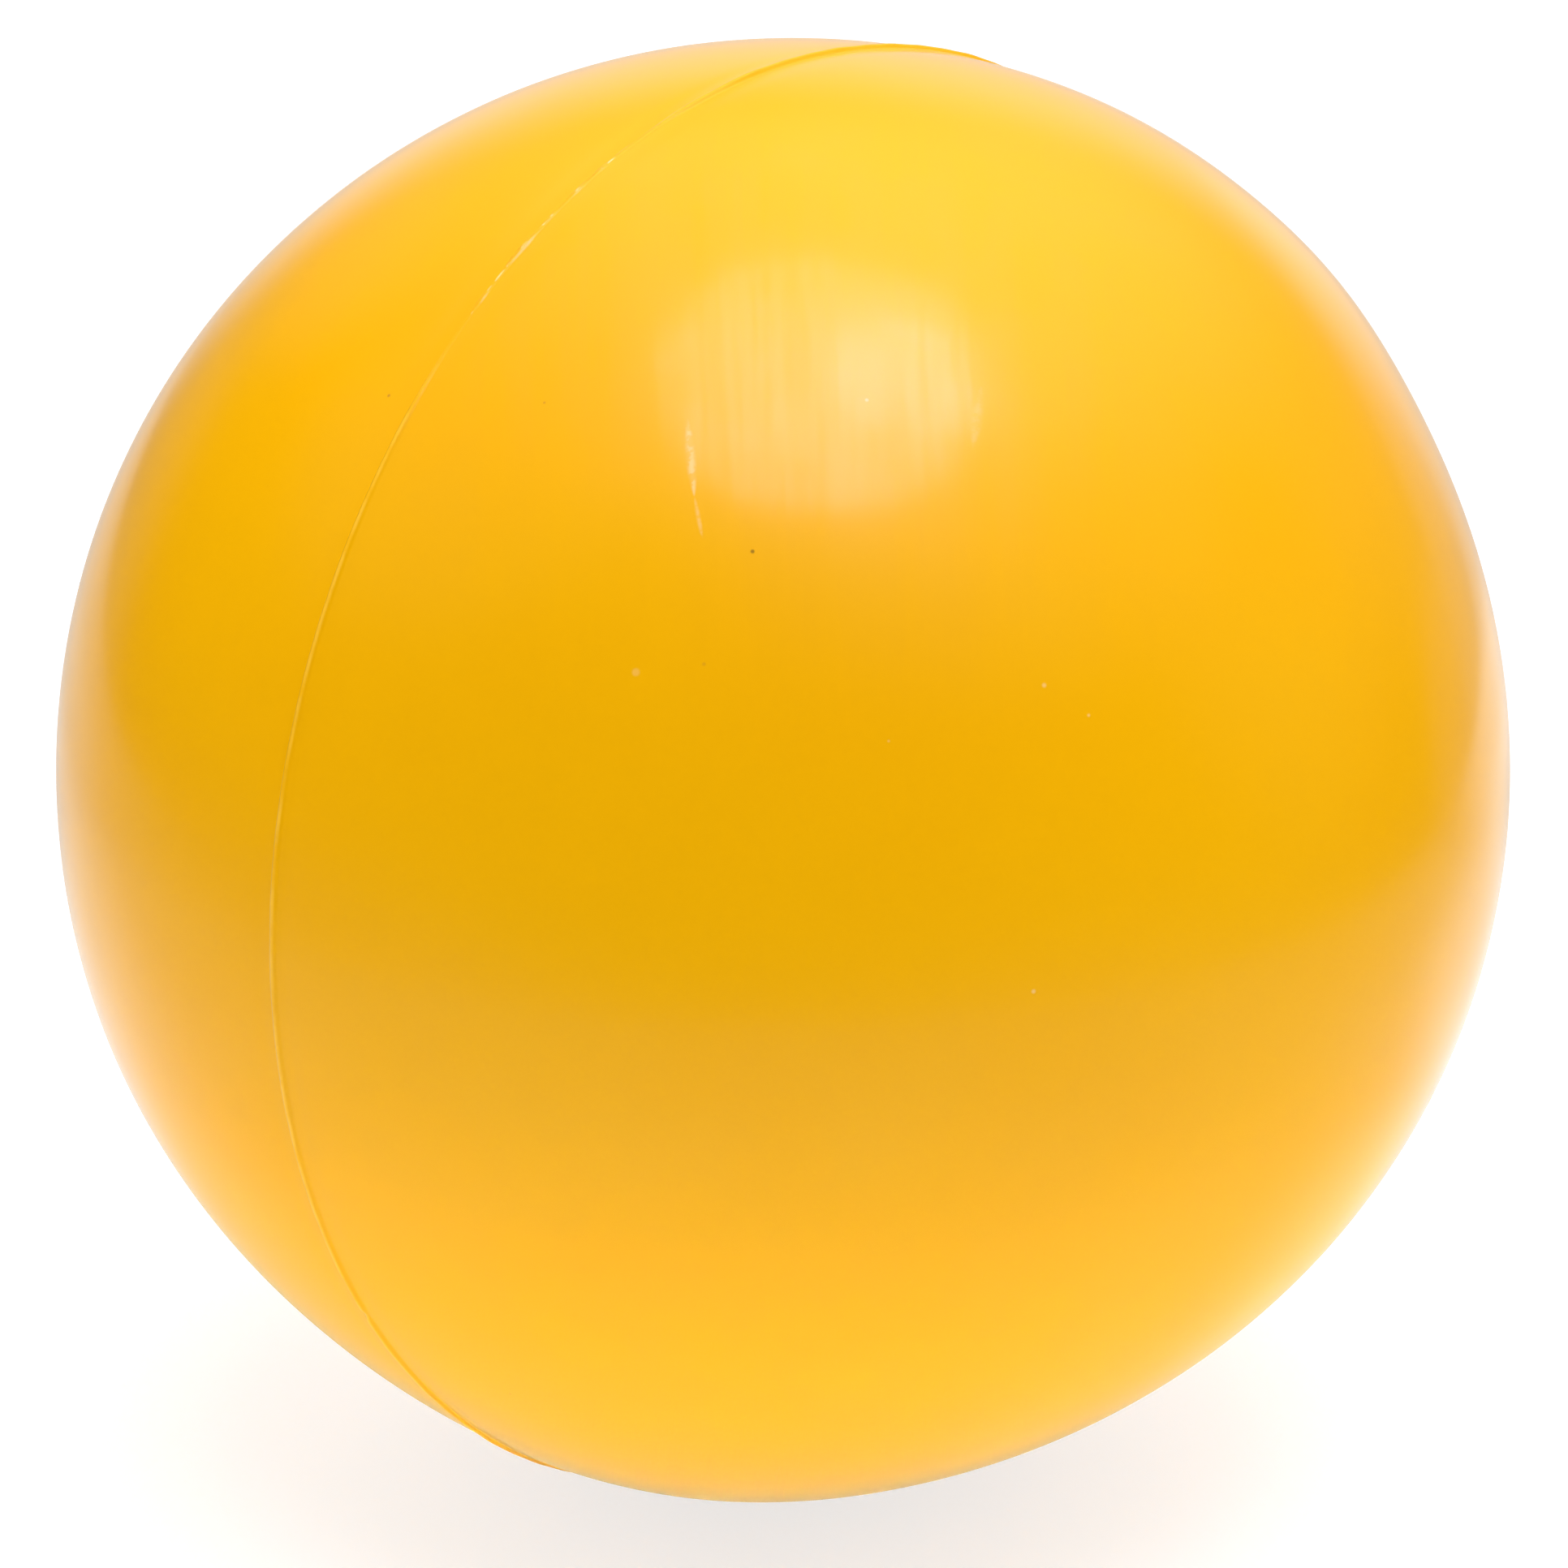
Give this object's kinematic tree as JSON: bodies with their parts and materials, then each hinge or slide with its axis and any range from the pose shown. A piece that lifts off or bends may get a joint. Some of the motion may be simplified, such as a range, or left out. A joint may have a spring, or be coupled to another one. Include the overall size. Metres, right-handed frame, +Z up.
{
  "type": "dodgeball",
  "caption": "Moulded rubber ball with a beaded, skived cover seam, a wound carcass, an airtight bladder and a needle valve whose plug draws out.",
  "frame": {"origin": "centre of the ball, which is the centre of its box", "axes": "+Z up; the cover's halves meet in the XZ plane, so the seam stands upright; +Y runs out through the valve"},
  "size_m": [0.217, 0.216, 0.217],
  "materials": {
    "cover": "glossy moulded yellow",
    "winding": "cemented nylon thread",
    "bladder": "dull black butyl",
    "patch": "dull black",
    "housing": "satin black",
    "plug": "satin dark grey"
  },
  "bodies": {
    "ball": {"cover_front": "cover", "cover_valve_side": "cover", "winding": "winding", "bladder_front": "bladder", "bladder_valve_side": "bladder", "valve_patch": "patch", "valve_housing": "housing"},
    "plug": {"valve_plug": "plug"}
  },
  "joints": [
    {"name": "plug_draw", "type": "slide", "parent": "ball", "child": "plug", "axis": [0, 1, 0], "range_m": [0, 0.02]}
  ]
}
